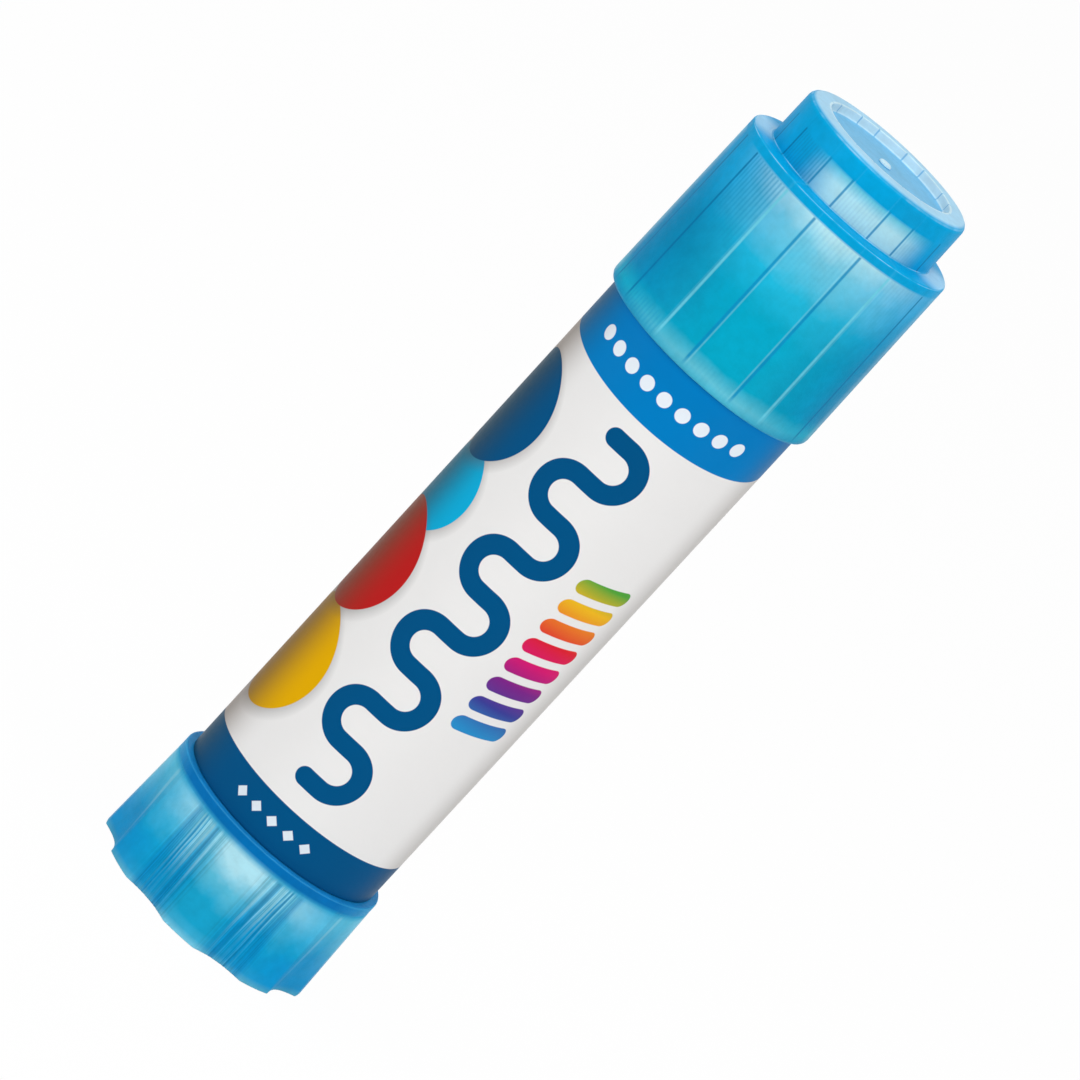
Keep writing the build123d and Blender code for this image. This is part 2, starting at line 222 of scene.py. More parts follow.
class LabelSettings(bpy.types.PropertyGroup):
    """Sizes and colours of the printed label."""
    radius: size("Radius", "Outer radius of the label", 12.0)
    thickness: size("Thickness", "Thickness of the film", 0.1)
    seam: size("Seam", "Gap of the seam at the back", 0.4)
    reach: size("Reach", "How far the film goes on towards the knob and the cap", 0.18)
    paper_colour: colour("Paper", "White of the film", "#E9E8E7")
    navy_colour: colour("Navy", "Foot ring, glue trail and upper disc", "#005082")
    band_colour: colour("Band", "Curved band under the cap", "#007BC0")
    cyan_colour: colour("Cyan", "Second disc", "#0AAAD7")
    red_colour: colour("Red", "Third disc", "#B91E1E")
    yellow_colour: colour("Yellow", "Lowest disc", "#E1AA00")
    # Painted shade at both sides of the front panel, where the light falls away round the stick
    painted_edge_shade: colour("Shade", "Soft shade printed at both sides of the front panel", "#5A4228")
    ring_top: size("Ring top", "Height of the foot ring's upper edge", 17.4)
    band_foot: size("Band foot", "Height of the band's lower edge at the front", 70.95)
    band_rise: size("Band rise", "Rise of the band's lower edge at the side", 1.61)


class StageSettings(bpy.types.PropertyGroup):
    """Camera, floor and lamps."""
    lens: bpy.props.FloatProperty(name="Lens", description="Focal length on a 36 mm sensor, in millimetres",
                                  default=271.67)
    distance: size("Distance", "Distance of the camera from its aim", 820.5)
    aim_height: size("Aim height", "Height of the point that the camera looks at", 52.3)
    elevation: angle("Elevation", "Height angle of the camera", 14.0)
    roll: angle("Roll", "Turn of the picture, which leans the stick to the right", 42.565)
    floor_colour: colour("Floor", "Colour of the floor under the lamps", "#F7F7F7")


# Meshes

def turned(outline, columns, first_angle=0.0, sweep=2 * math.pi):
    """A turned body from an outline of (radius, height, round) corners.

    An outline whose ends aren't both on the axis is closed from its last corner to its first.
    """
    body = bmesh.new()
    corners = [body.verts.new((radius, 0, height)) for radius, height, _ in outline]
    for first, second in zip(corners, corners[1:]):
        body.edges.new((first, second))
    if outline[0][0] or outline[-1][0]:
        body.edges.new((corners[-1], corners[0]))
    for corner, (_, _, rounding) in zip(corners, outline):
        if rounding:
            bmesh.ops.bevel(body, geom=[corner], offset=rounding, offset_type="OFFSET", affect="VERTICES",
                            segments=ROUND_SEGMENTS, profile=0.5, material=-1)
    bmesh.ops.rotate(body, verts=body.verts, cent=(0, 0, 0), matrix=Matrix.Rotation(first_angle, 3, "Z"))
    full_turn = math.isclose(sweep, 2 * math.pi)
    bmesh.ops.spin(body, geom=body.verts[:] + body.edges[:], cent=(0, 0, 0), axis=(0, 0, 1),
                   angle=sweep, steps=columns, use_merge=full_turn, use_duplicate=False)
    bmesh.ops.remove_doubles(body, verts=body.verts, dist=SMALLEST_GAP)
    if not full_turn:
        bmesh.ops.holes_fill(body, edges=[edge for edge in body.edges if edge.is_boundary], sides=0)
    bmesh.ops.recalc_face_normals(body, faces=body.faces)
    return body


def turn_of(vert):
    """The angle of a vertex round the axis and its radius."""
    return math.atan2(vert.co.y, vert.co.x), math.hypot(vert.co.x, vert.co.y)


def push(vert, distance):
    """Moves a vertex away from the axis, or towards it where the distance is below zero."""
    radius = math.hypot(vert.co.x, vert.co.y)
    vert.co += Vector((vert.co.x, vert.co.y, 0)) / radius * distance


def placed(name, data):
    """An object with this data, in the scene."""
    made = bpy.data.objects.new(name, data)
    bpy.context.scene.collection.objects.link(made)
    return made


def finished(body, name, material, rides_on, node):
    """Makes the mesh a smooth object with sharp corners, and gives it its place in the frame."""
    for face in body.faces:
        face.smooth = True
    for edge in body.edges:
        edge.smooth = len(edge.link_faces) == 2 and edge.calc_face_angle() < SHARP_CORNER
    mesh = bpy.data.meshes.new(name)
    body.to_mesh(mesh)
    body.free()
    mesh.materials.append(material)
    piece = placed(name, mesh)
    normals = piece.modifiers.new("Flat faces stay flat", "WEIGHTED_NORMAL")
    normals.keep_sharp = True
    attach(piece, rides_on)
    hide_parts(node)


# Materials

def per_metre(millimetres):
    """The scale of a texture whose features have this real size."""
    return 1 / (millimetres * MM)


def add_node(tree, kind, *inputs, output=0, **settings):
    """Adds a shader node with its settings and fills its live inputs in order: with links, values, or sRGB hex codes.

    Gives one of its live outputs, or the node itself where it has none.
    """
    made = tree.nodes.new("ShaderNode" + kind)
    for name, value in settings.items():
        setattr(made, name, value)
    live = [socket for socket in made.inputs if socket.enabled]
    for socket, value in zip(live, inputs):
        if isinstance(value, bpy.types.NodeSocket):
            tree.links.new(value, socket)
        else:
            socket.default_value = linear(value) if isinstance(value, str) else value
    live = [socket for socket in made.outputs if socket.enabled]
    return live[output] if live else made


def new_material(name, **shader_values):
    """A material with one Principled shader, whose sockets take these values, as (material, add, shader)."""
    material = bpy.data.materials.new(name)
    material.use_nodes = True
    shader = material.node_tree.nodes["Principled BSDF"]
    for socket, value in shader_values.items():
        shader.inputs[socket.replace("_", " ")].default_value = value
    return material, partial(add_node, material.node_tree), shader


def feed(shader, **sources):
    """Links each source to the shader's socket that it is named for."""
    for socket, source in sources.items():
        shader.id_data.links.new(source, shader.inputs[socket.replace("_", " ")])


def place_on_stick(add):
    """The place on the stick: angle from the front in degrees, height in millimetres, and the point in metres."""
    place = add("TexCoord", output=3)
    x, y, z = add("SeparateXYZ", place).node.outputs
    away = add("Math", y, -1.0, operation="MULTIPLY")
    turn = add("Math", add("Math", x, away, operation="ARCTAN2"), 180 / math.pi, operation="MULTIPLY")
    return turn, add("Math", z, 1 / MM, operation="MULTIPLY"), place


def ramp(add, value, low, high, stops):
    """Colours by a value, given as (value, colour) stops between the low and the high value."""
    made = add("ValToRGB", add("MapRange", value, low, high, 0.0, 1.0))
    elements = made.node.color_ramp.elements
    while len(elements) < len(stops):
        elements.new(0.5)
    for element, (at_value, code) in zip(elements, stops):
        element.position = (at_value - low) / (high - low)
        element.color = linear(code) if isinstance(code, str) else code
    return made


def past(add, value, reach):
    """How far a value goes past a reach on either side of zero."""
    return add("Math", add("Math", value, operation="ABSOLUTE"), reach, operation="SUBTRACT")


def near(add, value, centre, reach, softness):
    """1 where a value is within reach of a centre, fading to 0 over the softness."""
    off = add("Math", add("Math", value, centre, operation="SUBTRACT"), operation="ABSOLUTE")
    return add("MapRange", off, reach, reach + softness, 1.0, 0.0, interpolation_type="SMOOTHSTEP")


def towards(add, turn, centre, full, none):
    """1 on the two sides of the stick that face a centre angle or away from it, fading to 0 beside them."""
    off = add("Math", add("Math", turn, centre, operation="SUBTRACT"), 90.0, operation="PINGPONG")
    return add("MapRange", off, full, none, 1.0, 0.0, interpolation_type="SMOOTHSTEP")


def meet(add, mask, *masks):
    """The share of the surface that all these masks leave."""
    for other in masks:
        mask = add("Math", mask, other, operation="MULTIPLY")
    return mask


def lay(add, ground, top, *masks):
    """Lays a colour over the ground's colour, as far as all its masks let it."""
    return add("Mix", meet(add, *masks), ground, top, data_type="RGBA")


def flow_marks(add, place, height, reach):
    """The melt's flow as noise, and a height that it makes uneven by up to this reach in millimetres."""
    flow = add("TexNoise", place, per_metre(FLOW_SIZE), 3.0, 0.55)
    return flow, add("Math", height, add("MapRange", flow, 0.3, 0.7, -reach, reach), operation="ADD")


def moulded_surface(add, shader, place, colours):
    """The satin surface that a spark-eroded mould leaves, over faint clouds and mottles of the melt's flow.

    The real grain of 0.05 mm is too fine to show, so it is drawn 0.33 mm wide.
    """
    cloud = add("TexNoise", place, per_metre(CLOUD_SIZE), 4.0, 0.6)
    mottle = add("TexNoise", place, per_metre(MOTTLE_SIZE), 3.0, 0.65)
    tone = meet(add, add("MapRange", cloud, 0.3, 0.7, 0.93, 1.06), add("MapRange", mottle, 0.35, 0.65, 0.96, 1.04))
    grain = add("TexNoise", place, per_metre(GRAIN_SIZE), 3.0, 0.6)
    uneven = add("Math", add("Math", cloud, 1.5, operation="MULTIPLY"), grain, operation="ADD")
    feed(shader, Base_Color=add("Mix", 1.0, colours, tone, data_type="RGBA", blend_type="MULTIPLY"),
         Roughness=add("MapRange", grain, 0.3, 0.7, 0.32, 0.46), Normal=add("Bump", 0.16, 0.15 * MM, 0.1, uneven))


def cap_material(cap, low, high):
    """Translucent blue polypropylene, injection moulded, with light and shade painted into its colour: thin walls over
    an empty room are painted pale, the sides that turn away get painted shade, thick walls are deep blue, and the
    inner ribs show as painted lines."""
    material, add, shader = new_material("Moulded translucent polypropylene, cap", **TRANSLUCENT)
    turn, height, place = place_on_stick(add)
    from_front = add("Math", turn, 90.0, operation="PINGPONG")
    mouth = low / MM
    top = high / MM
    shoulder = top - cap.step_height / MM
    ceiling = shoulder - cap.roof / MM
    recess_floor = top - cap.recess_depth / MM
    slab_foot = recess_floor - cap.slab / MM - 0.25

    # The skirt: painted shade where it turns away from the light, teal over the white neck, and painted light, pale,
    # at the lip and over the empty room under the roof, where light would come through.
    # The melt's flow makes these zones' edges uneven, by about a millimetre, and less so at the lip
    flow, uneven_height = flow_marks(add, place, height, 0.7)
    over_lip = add("MapRange", height, mouth + 1.5, mouth + 6.0, 0.15, 1.0)
    lit = ramp(add, add("Mix", over_lip, height, uneven_height), mouth, ceiling, [
        (mouth + 0.2, "#46B6D2"),
        (mouth + 1.1, cap.lip_colour),
        (mouth + 2.9, cap.teal_colour),
        (mouth + 9.0, cap.teal_colour),
        (mouth + 13.2, cap.azure_colour),
        (ceiling - 2.6, "#74CAE3"),
        (ceiling - 0.2, cap.backlight_colour),
    ])
    # Painted shade for the sides that turn away from the light
    painted_side_shade = ramp(add, height, mouth, ceiling, [
        (mouth + 0.2, cap.turned_side_shade),
        (mouth + 1.5, cap.teal_colour),
        (mouth + 3.5, cap.turned_side_shade),
        (mouth + 11.0, cap.turned_side_shade),
        (ceiling - 2.0, cap.solid_colour),
    ])
    colours = lay(add, painted_side_shade, lit, towards(add, turn, 9.0, 4.0, 76.0))
    # Painted highlight: a pale strip where the skirt turns away from the front and the back
    colours = lay(add, colours, cap.backlight_colour, add("MapRange", from_front, 75.0, 85.0, 0.0, 0.38))
    colours = lay(add, colours, cap.solid_colour, add("MapRange", height, ceiling - 0.1, ceiling + 0.15, 0.0, 1.0))

    # The step: painted light, as pale as that, only near its front and back; elsewhere the thick plastic's colour
    step_lit = ramp(add, height, shoulder, top, [
        (shoulder + 0.3, cap.backlight_colour),
        (slab_foot - 1.4, cap.backlight_colour),
        (slab_foot - 0.2, "#66C6E0"),
        (slab_foot + 0.1, cap.solid_colour),
    ])
    step = lay(add, cap.solid_colour, step_lit, towards(add, turn, 12.0, 20.0, 50.0))
    colours = lay(add, colours, step, add("MapRange", height, shoulder + 0.1, shoulder + 0.3, 0.0, 1.0))

    # Inner ribs in pairs, as painted lines: most get painted shade, where a rib bends the light behind it away from
    # the eye, and those beside the front and the back a painted highlight, where a rib bends it towards the eye.
    # Angles are in degrees
    from_first = add("Math", turn, math.degrees(cap.rib_turn), operation="SUBTRACT")
    from_pair = add("Math", from_first, 180 / RIB_PAIRS, operation="PINGPONG")
    half_spread = math.degrees(cap.rib_spread) / 2
    on_rib = near(add, from_pair, half_spread, 0.25, 0.8)
    highlit_rib = near(add, add("Math", from_first, 90.0, operation="PINGPONG"), 45.0 - half_spread, 2.0, 0.5)
    below_shoulder = add("MapRange", height, shoulder, shoulder + 0.3, 1.0, 0.0)
    shadowed_rib = lay(add, "#0070A6", cap.rib_shadow_colour, towards(add, turn, 9.0, 25.0, 60.0))
    rib = lay(add, shadowed_rib, cap.rib_highlight_colour, highlit_rib, below_shoulder)
    in_roof = near(add, height, (ceiling + shoulder) / 2, cap.roof / MM / 2, 0.15)
    thin_walls = meet(add, add("MapRange", height, mouth + 0.4, mouth + 1.6, 0.0, 0.85),
                      add("MapRange", height, slab_foot, slab_foot + 0.2, 1.0, 0.1),
                      add("MapRange", in_roof, 0.0, 1.0, 1.0, 0.1))
    colours = lay(add, colours, rib, on_rib, thin_walls)
    # A faint painted highlight beside each rib, towards the front and the back
    beside_rib = near(add, from_pair, half_spread - 1.2, 0.05, 0.6)
    colours = lay(add, colours, cap.backlight_colour, beside_rib, towards(add, turn, 9.0, 20.0, 45.0), thin_walls, 0.2)

    # Fine ribs between the two of a pair, drawn as lines of painted shade, strongest under the roof and in the step
    wave = add("Math", from_pair, 2 * math.pi / FINE_RIB_PITCH, operation="MULTIPLY")
    wave = add("MapRange", add("Math", wave, operation="COSINE"), -0.6, 1.0, 0.0, 1.0)
    under_roof = add("MapRange", height, ceiling - cap.fine_rib_length / MM, ceiling - 2.0, 0.0, 0.5)
    at_lip = meet(add, near(add, height, mouth + 1.3, 0.5, 1.2), 0.3)
    colours = lay(add, colours, cap.rib_shadow_colour, wave, near(add, from_pair, 0.0, half_spread - 1.6, 0.6),
                  add("Math", under_roof, at_lip, operation="MAXIMUM"),
                  add("MapRange", towards(add, turn, -38.2, 10.0, 22.0), 0.0, 1.0, 0.22, 1.0),
                  add("MapRange", in_roof, 0.0, 1.0, 1.0, 0.0),
                  add("MapRange", height, slab_foot - 0.3, slab_foot, 1.0, 0.0))

    # Painted light: faces that look up are painted pale, as if they caught the light from above, the shoulder only
    # beside the step, and a painted glint runs round the edges that half face up
    up = add("SeparateXYZ", add("TexCoord", output=1), output=2)
    beside_step = add("MapRange", from_front, 62.0, 84.0, 0.0, 0.75, interpolation_type="SMOOTHSTEP")
    on_rim = add("MapRange", height, shoulder + 0.2, shoulder + 1.0, 0.0, 1.0)
    floor_tone = add("MapRange", height, top - 0.6, top - 0.1, 0.42, 0.85)
    colours = lay(add, colours, cap.toplight_colour, add("MapRange", up, 0.7, 0.95, 0.0, 1.0),
                  add("Mix", on_rim, beside_step, floor_tone))
    uneven_glint = add("MapRange", flow, 0.4, 0.6, 0.05, 0.5)
    colours = lay(add, colours, cap.toplight_colour, near(add, up, 0.6, 0.05, 0.1), uneven_glint)

    # The recess's wall and the gate's mark are painted pale, as light that comes through them, and the ribs part the
    # wall
    off_axis = add("VectorMath", add("VectorMath", place, (1.0, 1.0, 0.0), operation="MULTIPLY"), operation="LENGTH")
    wall = lay(add, "#CDEAF6", cap.solid_colour, add("MapRange", on_rib, 0.0, 1.0, 0.0, 0.6))
    colours = lay(add, colours, wall, add("MapRange", off_axis, 8.15 * MM, 8.05 * MM, 0.0, 1.0),
                  add("MapRange", height, recess_floor + 0.03, recess_floor + 0.12, 0.0, 1.0))
    moulded_surface(add, shader, place, colours)
    return material


def knob_material(knob, low, high):
    """Translucent blue polypropylene, injection moulded: crowns with painted light, hollows with painted shade and
    painted lines of light and shadow, a dark collar.
    """
    material, add, shader = new_material("Moulded translucent polypropylene, knob", **TRANSLUCENT)
    turn, height, place = place_on_stick(add)
    from_front = add("Math", turn, 90.0, operation="PINGPONG")
    foot = low / MM
    top = high / MM
    collar = top - knob.collar_height / MM
    below_collar = add("MapRange", height, collar - 0.2, collar - 0.6, 0.0, 1.0)

    # Crowns: painted light, pale at the foot's edge, under the collar, where light would come through, and towards the
    # front and the back; deeper towards the foot; painted shade at the sides
    _, uneven_height = flow_marks(add, place, height, 0.9)
    in_wall = add("MapRange", height, 1.5, 3.0, 0.0, 1.0)
    zone_height = add("Mix", in_wall, height, uneven_height)
    lit = ramp(add, zone_height, foot, collar, [
        (0.1, "#7CC8E0"),
        (0.9, "#3AABCF"),
        (2.2, knob.crown_colour),
        (4.5, knob.crown_colour),
        (7.2, "#58BAD6"),
        (9.6, knob.backlight_colour),
    ])
    # Painted shade for the sides that turn away from the light
    painted_side_shade = ramp(add, zone_height, foot, collar, [
        (0.1, "#4FA9C8"),
        (0.9, knob.turned_side_shade),
        (3.5, knob.turned_side_shade),
        (5.5, "#0AA0D0"),
        (9.6, "#52BCE0"),
        (collar, "#46B4DC"),
    ])
    colours = lay(add, painted_side_shade, lit, towards(add, turn, -2.0, 6.0, 62.0))

    # Hollows: painted shade, a little deeper in colour than the crowns
    from_crown = add("Math", turn, 180 / LOBES, operation="PINGPONG")
    half_crown = math.degrees(knob.crown_angle) / 2
    hollows = ramp(add, height, foot, collar, [
        (0.1, "#46A2C4"),
        (0.7, knob.hollow_shadow_colour),
        (5.0, knob.hollow_shadow_colour),
        (10.4, "#55BEDB"),
    ])
    in_hollow = add("MapRange", from_crown, half_crown, half_crown + 7.0, 0.0, 1.0, interpolation_type="SMOOTHSTEP")
    colours = lay(add, colours, hollows, in_hollow, 0.7)

    # Painted shadow lines of the grip grooves, and paler lines of painted light, in the hollows beside the front and
    # the back, which sway a little over some 14 mm. Each one has its angle from there, half its width and the softness
    # of its edge in degrees, its strength and its share at the foot
    sway = add("TexNoise", add("CombineXYZ", turn, 0.0, height), 0.07, 2.0)
    swayed = add("Math", from_front, add("MapRange", sway, 0.3, 0.7, -1.1, 1.1), operation="ADD")
    for code, lines in (
            (knob.groove_shadow_colour, ((18.8, 0.2, 2.6, 0.55, 0.9), (25.6, 0.1, 0.5, 0.55, 0.6), (27.5, 0.2, 0.6, 0.65, 0.7),
                                (29.6, 0.1, 0.5, 0.4, 0.4), (32.4, 0.2, 2.8, 0.5, 1.0))),
            (knob.backlight_colour, ((15.6, 0.3, 1.0, 0.45, 0.1), (21.4, 0.3, 0.7, 0.45, 0.05), (22.9, 0.1, 0.4, 0.3, 0.0),
                                 (24.3, 0.4, 0.6, 0.5, 0.05), (26.6, 0.1, 0.4, 0.45, 0.1), (28.6, 0.1, 0.4, 0.35, 0.1),
                                 (60.0, 0.3, 1.9, 0.3, 0.3)))):
        for centre, reach, softness, strength, at_foot in lines:
            down = add("MapRange", height, 2.5, 9.0, at_foot, 1.0, interpolation_type="SMOOTHSTEP")
            colours = lay(add, colours, code, near(add, swayed, centre, reach, softness), strength, down, below_collar)

    # Fine scores of about a degree, or 0.2 mm, that run down the hollows, drawn as streaks of painted light and shade
    scores = add("CombineXYZ", turn, 0.0, add("Math", height, 0.03, operation="MULTIPLY"))
    scores = add("MapRange", add("TexNoise", scores, 1.1, 3.0, 0.7), 0.38, 0.62, -0.21, 0.18)
    in_scores = add("MapRange", from_crown, half_crown - 1.0, half_crown + 4.0, 0.0, 1.0)
    scores = meet(add, scores, in_scores, towards(add, turn, 0.0, 36.0, 52.0), below_collar)
    scores = add("Math", 1.0, scores, operation="ADD")
    colours = add("Mix", 1.0, colours, scores, data_type="RGBA", blend_type="MULTIPLY")
    # Painted highlight: a pale strip where the knob turns away from the front and the back
    colours = lay(add, colours, knob.backlight_colour, add("MapRange", from_front, 70.0, 84.0, 0.0, 0.42),
                  add("MapRange", height, 2.0, 9.0, 0.1, 1.0))

    # The solid collar, with painted light where it turns away, and a faint painted highlight where its round catches
    # the light
    colours = lay(add, colours, "#0F9ECC", add("MapRange", height, collar - 0.8, collar - 0.15, 0.0, 0.8))
    solid = lay(add, knob.collar_colour, "#2BA0D2", add("MapRange", from_front, 50.0, 80.0, 0.0, 0.85))
    solid = lay(add, solid, "#3FA3D6", near(add, height, top - 0.11, 0.02, 0.08), 0.4)
    solid = lay(add, solid, "#1B87CB", add("MapRange", height, top - 0.04, top - 0.02, 0.0, 0.7))
    colours = lay(add, colours, solid, add("MapRange", height, collar - 0.3, collar + 0.2, 0.0, 1.0))
    moulded_surface(add, shader, place, colours)
    return material


def label_material(label):
    """Printed polypropylene film with a satin varnish: flat inks with crisp edges on a white ground.

    The varnish's unevenness of 0.1 mm is too fine to show, so it is drawn 0.56 mm wide.
    """
    material, add, shader = new_material(
        "Printed film, satin varnish", Roughness=0.38, IOR=1.49, Specular_IOR_Level=0.03)
    turn, height, place = place_on_stick(add)
    across = add("Math", turn, math.radians(1) * label.radius / MM, operation="MULTIPLY")

    def ink(under, distance, code, softness=0.03, strength=1.0):
        """Lays an ink over what is printed so far, where a distance in millimetres is below zero."""
        return lay(add, under, code, add("MapRange", distance, -softness, softness, strength, 0.0))

    def from_circle(beside, above, radius):
        """The distance in millimetres from a circle's edge, by the place beside and above its centre."""
        away = add("VectorMath", add("CombineXYZ", beside, above, 0.0), operation="LENGTH")
        return add("Math", away, radius, operation="SUBTRACT")

    def from_disc(centre_across, centre_height, radius):
        """The distance in millimetres from the edge of a disc on the label."""
        return from_circle(add("Math", across, centre_across, operation="SUBTRACT"),
                           add("Math", height, centre_height, operation="SUBTRACT"), radius)

    def from_capsule(beside, above, half_length, radius):
        """The distance in millimetres from the edge of a capsule that lies across the label."""
        return from_circle(add("Math", past(add, beside, half_length), 0.0, operation="MAXIMUM"), above, radius)

    def row_of(count, pitch, centre):
        """The place beside the nearest mark of a row, and 1 where the row is."""
        beside = add("Math", across, pitch * count / 2 - centre, operation="ADD")
        beside = add("Math", add("Math", beside, pitch, 0.0, operation="WRAP"), pitch / 2, operation="SUBTRACT")
        return beside, near(add, across, centre, pitch * count / 2, 0.01)

    # Coloured paper discs, by place across, height, radius and colour, each with a soft shadow on what lies under it
    colours = label.paper_colour
    for centre_across, centre_height, radius, code in (
            (-14.0, 28.0, 7.0, label.yellow_colour),
            (-13.5, 51.5, 5.5, label.cyan_colour),
            (-14.5, 41.5, 7.0, label.red_colour),
            (-14.45, 62.15, 6.9, label.navy_colour),
            (-27.5, 34.0, 5.0, label.cyan_colour),
            (-28.5, 56.0, 4.0, label.yellow_colour),
            (27.5, 47.0, 6.0, label.red_colour),
            (29.5, 61.0, 4.5, label.cyan_colour),
            (31.0, 31.0, 5.0, label.yellow_colour)):
        colours = ink(colours, from_disc(centre_across + 0.25, centre_height - 0.35, radius), "#55514F", 0.9, 0.5)
        beside = add("Math", across, centre_across, operation="SUBTRACT")
        shade = add("MapRange", beside, -0.4 * radius, 0.8 * radius, 0.35, 0.0, interpolation_type="SMOOTHSTEP")
        colours = ink(colours, from_disc(centre_across, centre_height, radius), lay(add, code, "#2A2A2C", shade))

    # A glue trail in rows joined by half turns, with round ends
    rows = 10
    pitch = 5.25
    rows_height = pitch * (rows - 1)
    row_foot = 20.9
    half_row = 3.6
    half_stroke = 1.05
    straight = half_row - pitch / 2
    beside = add("Math", across, -0.35, operation="SUBTRACT")
    lift = add("Math", add("Math", beside, 0.0, operation="LESS_THAN"), pitch, operation="MULTIPLY")
    lift = add("Math", add("Math", height, row_foot + pitch / 2, operation="SUBTRACT"), lift, operation="SUBTRACT")
    lift = add("Math", lift, pitch, -pitch, operation="WRAP")
    trail = past(add, from_capsule(beside, lift, straight, pitch / 2), half_stroke)
    past_rows = add("Math", height, row_foot + rows_height / 2, operation="SUBTRACT")
    past_rows = past(add, past_rows, rows_height / 2)
    past_end = add("Math", -straight, beside, operation="SUBTRACT")
    end_turns = add("Math", add("Math", past_rows, pitch / 2, operation="ADD"), past_end, operation="MINIMUM")
    outside = add("Math", add("Math", past_rows, half_stroke, operation="SUBTRACT"), end_turns, operation="MAXIMUM")
    trail = add("Math", trail, outside, operation="MAXIMUM")
    trail = add("Math", trail, from_circle(past_end, past_rows, half_stroke), operation="MINIMUM")
    colours = ink(colours, trail, label.navy_colour)

    # A column of slanted strokes in the colours of the rainbow
    strokes = 8
    pitch = 2.71
    slant = 0.13
    first_stroke = 35.75
    beside = add("Math", across, 9.45, operation="SUBTRACT")
    slanted = add("Math", height, add("Math", beside, slant, operation="MULTIPLY"), operation="SUBTRACT")
    slanted = add("Math", slanted, first_stroke, operation="SUBTRACT")
    row = add("Math", slanted, pitch / 2, -pitch / 2, operation="WRAP")
    outside = past(add, add("Math", slanted, pitch * (strokes - 1) / 2, operation="SUBTRACT"), pitch * strokes / 2)
    rainbow = ramp(add, height, 34.0, 56.5, [
        (35.0, "#2A8CC8"),
        (38.5, "#3B3F96"),
        (41.5, "#7A2687"),
        (44.5, "#D41A70"),
        (47.5, "#DC2230"),
        (50.0, "#E8762A"),
        (52.5, "#EDB822"),
        (55.5, "#4FA23C"),
    ])
    colours = ink(colours, add("Math", from_capsule(beside, row, 2.6, 0.92), outside, operation="MAXIMUM"), rainbow)

    # The curved band with its row of dots, and the foot ring with its row of diamonds
    bend = add("Math", add("Math", turn, math.radians(1), operation="MULTIPLY"), operation="COSINE")
    bend = add("Math", add("Math", 1.0, bend, operation="SUBTRACT"), label.band_rise / MM, operation="MULTIPLY")
    over_band = add("Math", height, add("Math", bend, label.band_foot / MM, operation="ADD"), operation="SUBTRACT")
    colours = ink(colours, add("Math", over_band, -1.0, operation="MULTIPLY"), label.band_colour)
    beside, in_row = row_of(9, 2.4, -0.3)
    dot = from_circle(beside, add("Math", over_band, 3.35, operation="SUBTRACT"), 0.8)
    colours = lay(add, colours, "#E6EEF6", add("MapRange", dot, -0.03, 0.03, 1.0, 0.0), in_row)
    colours = ink(colours, add("Math", height, label.ring_top / MM, operation="SUBTRACT"), label.navy_colour)
    beside, in_row = row_of(5, 2.2, -0.75)
    above = add("Math", add("Math", height, 15.1, operation="SUBTRACT"), operation="ABSOLUTE")
    diamond = add("Math", add("Math", beside, operation="ABSOLUTE"), above, operation="ADD")
    colours = lay(add, colours, "#DCE6EE", add("MapRange", diamond, 0.66, 0.74, 1.0, 0.0), in_row)

    # Painted shade, soft and warm, down the left of the front panel, where the light falls away round the stick, and a
    # fainter one down its right; on the blue inks it is a dark teal
    redness = add("SeparateColor", colours)
    painted_edge_shade = lay(add, "#123E48", label.painted_edge_shade, add("MapRange", redness, 0.02, 0.15, 0.0, 1.0))
    for start, end, far_start, far_end, strength in (
            (-38.0, -82.0, -86.0, -106.0, 0.7), (54.0, 82.0, 94.0, 130.0, 0.32)):
        colours = lay(add, colours, painted_edge_shade,
                      add("MapRange", turn, start, end, 0.0, strength, interpolation_type="SMOOTHSTEP"),
                      add("MapRange", turn, far_start, far_end, 1.0, 0.0, interpolation_type="SMOOTHSTEP"))

    grain = add("TexNoise", place, per_metre(VARNISH_SIZE), 3.0)
    feed(shader, Base_Color=colours, Normal=add("Bump", 0.05, 0.2 * MM, 0.1, grain),
         Roughness=add("MapRange", grain, 0.3, 0.7, 0.35, 0.42))
    return material


def white_plastic(name, code, scatter):
    """Moulded polypropylene with no dye or a white one: satin, a little milky, with faint flow marks along the axis.

    The mould's grain of 0.05 mm is too fine to show, so it is drawn 0.45 mm wide.
    """
    material, add, shader = new_material(
        name, IOR=1.49, Specular_IOR_Level=0.4, Subsurface_Weight=scatter, Subsurface_Scale=2 * MM,
        Subsurface_Radius=(1.0, 0.97, 0.94))
    place = add("TexCoord", output=3)
    stretched = add("Mapping", place, (0, 0, 0), (0, 0, 0), (1, 1, 0.08))
    flow = add("TexNoise", stretched, per_metre(FLOW_MARK_WIDTH), 3.0)
    grain = add("TexNoise", place, per_metre(PLAIN_GRAIN_SIZE), 2.0)
    tone = add("MapRange", flow, 0.3, 0.7, 0.95, 1.02)
    feed(shader, Base_Color=add("Mix", 1.0, code, tone, data_type="RGBA", blend_type="MULTIPLY"),
         Roughness=add("MapRange", flow, 0.3, 0.7, 0.34, 0.46), Normal=add("Bump", 0.08, 0.2 * MM, 0.1, grain))
    return material


